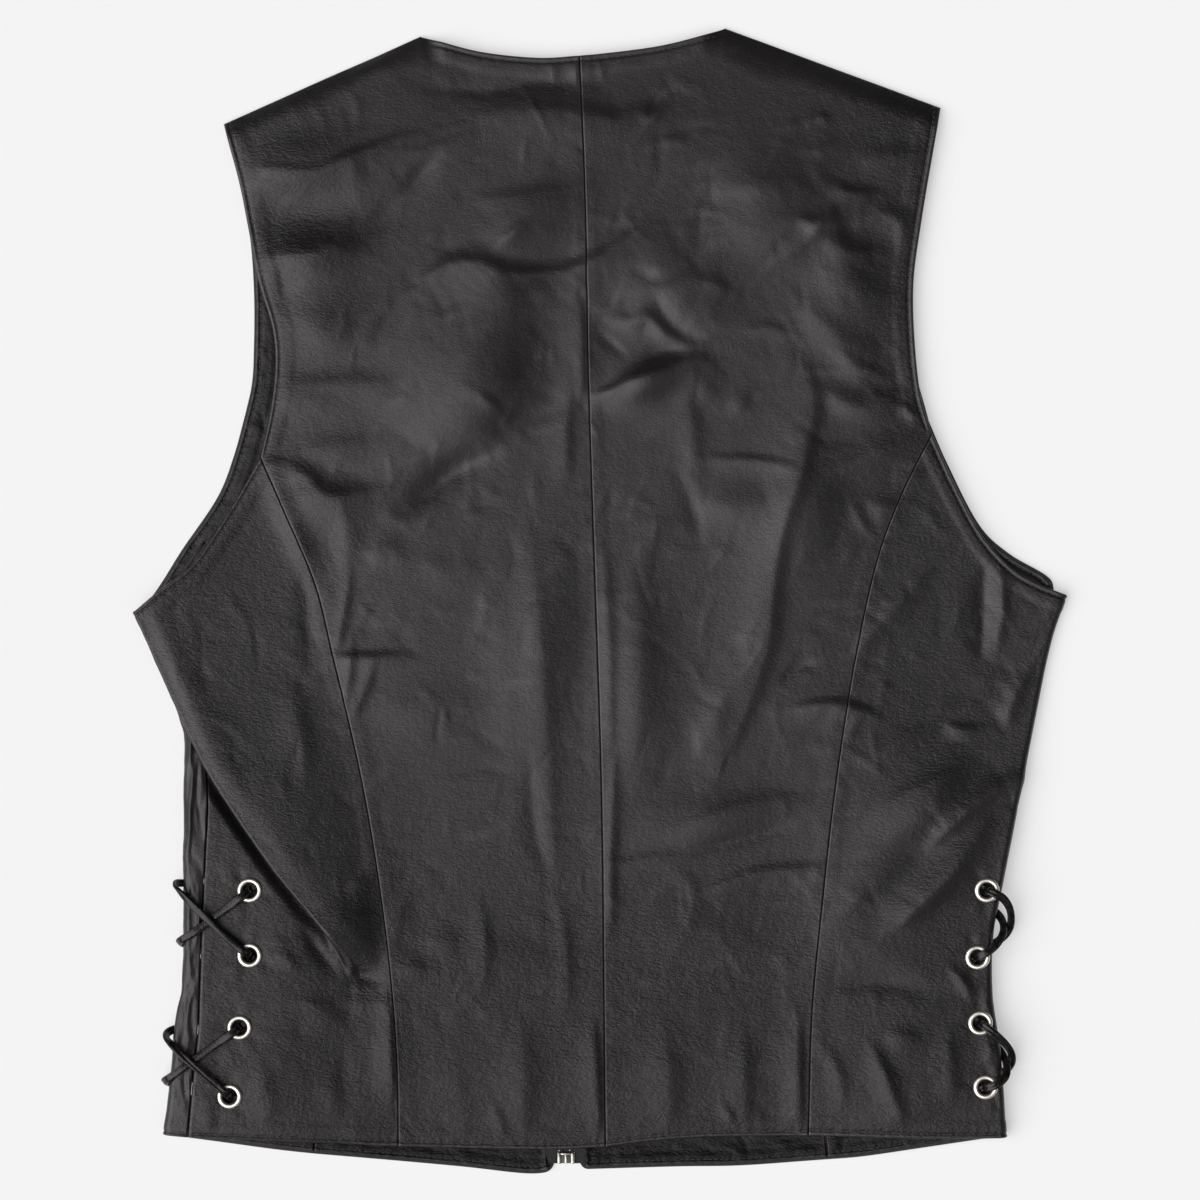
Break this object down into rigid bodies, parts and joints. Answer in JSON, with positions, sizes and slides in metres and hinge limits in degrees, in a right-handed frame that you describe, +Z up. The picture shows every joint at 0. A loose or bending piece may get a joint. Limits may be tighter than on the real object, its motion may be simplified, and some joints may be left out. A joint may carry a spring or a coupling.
{
  "type": "leather vest laid flat",
  "caption": "Black leather vest with zip front, princess seams and laced sides, laid flat on its front, with a hinged zip pull.",
  "frame": {"origin": "centre of the vest's outline on the surface that its fronts lie on", "axes": "+Y to the neck, +X to the right as seen from above, +Z up out of the surface"},
  "size_m": [0.5053, 0.6199, 0.0187],
  "materials": {
    "leather": "black pebbled leather, satin",
    "facing": "black leather, the facings inside",
    "tape": "black woven zip tape",
    "nickel": "bright nickel plate",
    "lace": "black leather lace, folded lengthwise"
  },
  "bodies": {
    "vest": {"back_left": "leather", "back_right": "leather", "side_back_left": "leather", "side_back_right": "leather", "side_front_left": "leather", "side_front_right": "leather", "front_left": "leather", "front_right": "leather", "armhole_facing_left": "facing", "armhole_facing_right": "facing", "hem_facing_centre_left": "facing", "hem_facing_side_left": "facing", "hem_facing_centre_right": "facing", "hem_facing_side_right": "facing", "zip_tape_left": "tape", "zip_tape_right": "tape", "zip_box": "nickel", "zip_slider": "nickel", "eyelet_back_left_1": "nickel", "eyelet_back_left_2": "nickel", "eyelet_back_left_3": "nickel", "eyelet_back_left_4": "nickel", "eyelet_back_right_1": "nickel", "eyelet_back_right_2": "nickel", "eyelet_back_right_3": "nickel", "eyelet_back_right_4": "nickel", "eyelet_front_left_1": "nickel", "eyelet_front_left_2": "nickel", "eyelet_front_left_3": "nickel", "eyelet_front_left_4": "nickel", "eyelet_front_right_1": "nickel", "eyelet_front_right_2": "nickel", "eyelet_front_right_3": "nickel", "eyelet_front_right_4": "nickel", "lace_left_upper": "lace", "lace_left_lower": "lace", "lace_right_upper": "lace", "lace_right_lower": "lace"},
    "pull": {"zip_pull": "nickel"}
  },
  "joints": [
    {"name": "pull_swing", "type": "hinge", "parent": "vest", "child": "pull", "pos_m": [-0.0184, 0.127, 0.00185], "axis": [1, 0, 0], "range_deg": [0, 167]}
  ]
}
